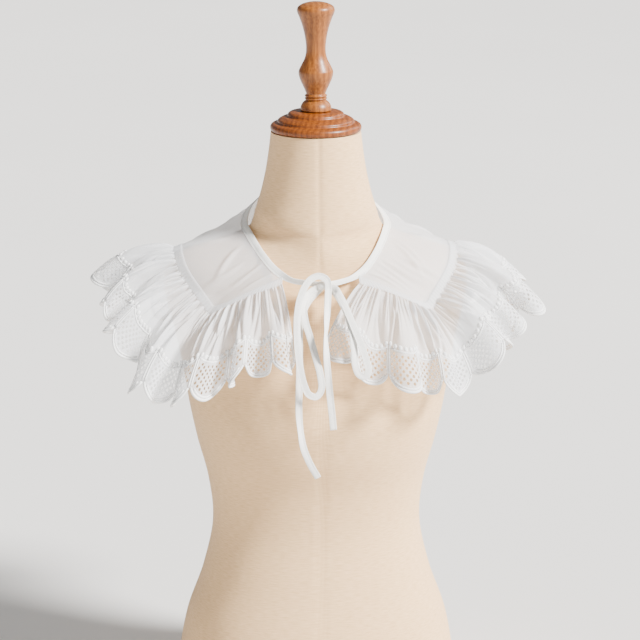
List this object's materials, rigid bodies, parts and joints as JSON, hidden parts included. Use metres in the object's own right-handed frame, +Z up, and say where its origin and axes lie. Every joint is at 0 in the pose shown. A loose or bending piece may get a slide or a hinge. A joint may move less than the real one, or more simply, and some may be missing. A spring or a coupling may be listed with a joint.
{
  "type": "lace collar on a limbless dress form",
  "caption": "Sheer cotton yoke with a gathered scalloped eyelet-lace ruffle, bound neck and tape bow, resting on a linen dress form with a turned wooden finial.",
  "frame": {"origin": "middle of the dress form's flat underside, below its neck", "axes": "+Z up along the form's neck and finial, -Y towards the front where the bow is tied, +X towards the viewer's right"},
  "size_m": [0.5043, 0.3466, 0.7957],
  "materials": {
    "linen": "plain-woven natural linen, matt",
    "turned_wood": "turned and varnished, satin",
    "voile": "sheer white cotton voile",
    "eyelet_lace": "white cotton voile with an eyelet-lace border in satin stitch",
    "cotton_tape": "folded and stitched off-white cotton tape"
  },
  "bodies": {
    "root": {"form_torso": "linen", "form_neck_cap": "turned_wood", "form_finial": "turned_wood", "yoke": "voile", "ruffle_left": "eyelet_lace", "ruffle_right": "eyelet_lace", "neck_binding": "cotton_tape", "tie_left": "cotton_tape", "tie_right": "cotton_tape", "bow_knot": "cotton_tape", "bow_loop_left": "cotton_tape", "bow_loop_right": "cotton_tape", "tie_end_left": "cotton_tape", "tie_end_right": "cotton_tape"}
  },
  "joints": []
}
